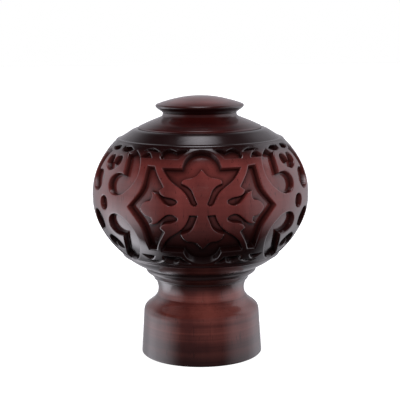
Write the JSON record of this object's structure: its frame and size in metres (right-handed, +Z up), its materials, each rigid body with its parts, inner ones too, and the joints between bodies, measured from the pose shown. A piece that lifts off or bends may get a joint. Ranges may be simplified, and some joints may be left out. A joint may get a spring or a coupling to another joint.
{
  "type": "curtain pole finial",
  "caption": "Turned wooden curtain-pole finial: tapered collar, cove neck, ball with a carved raised band, domed cap and lens-shaped button.",
  "frame": {"origin": "centre of the collar's flat base", "axes": "+Z up the turning axis, away from the pole; the middle of one repeat of the carving faces -Y"},
  "size_m": [0.09, 0.0899, 0.1086],
  "materials": {
    "collar_wood": "dark mahogany lacquer, gloss",
    "ball_wood": "dark mahogany lacquer, gloss",
    "cap_wood": "dark mahogany lacquer, gloss",
    "button_wood": "dark mahogany lacquer, gloss",
    "dowel_wood": "plain beech, unfinished",
    "insert_metal": "plain turned brass"
  },
  "bodies": {
    "root": {"collar_and_neck": "collar_wood", "carved_ball": "ball_wood", "top_cap": "cap_wood", "top_button": "button_wood", "neck_dowel": "dowel_wood", "top_dowel": "dowel_wood", "threaded_insert": "insert_metal"}
  },
  "joints": []
}
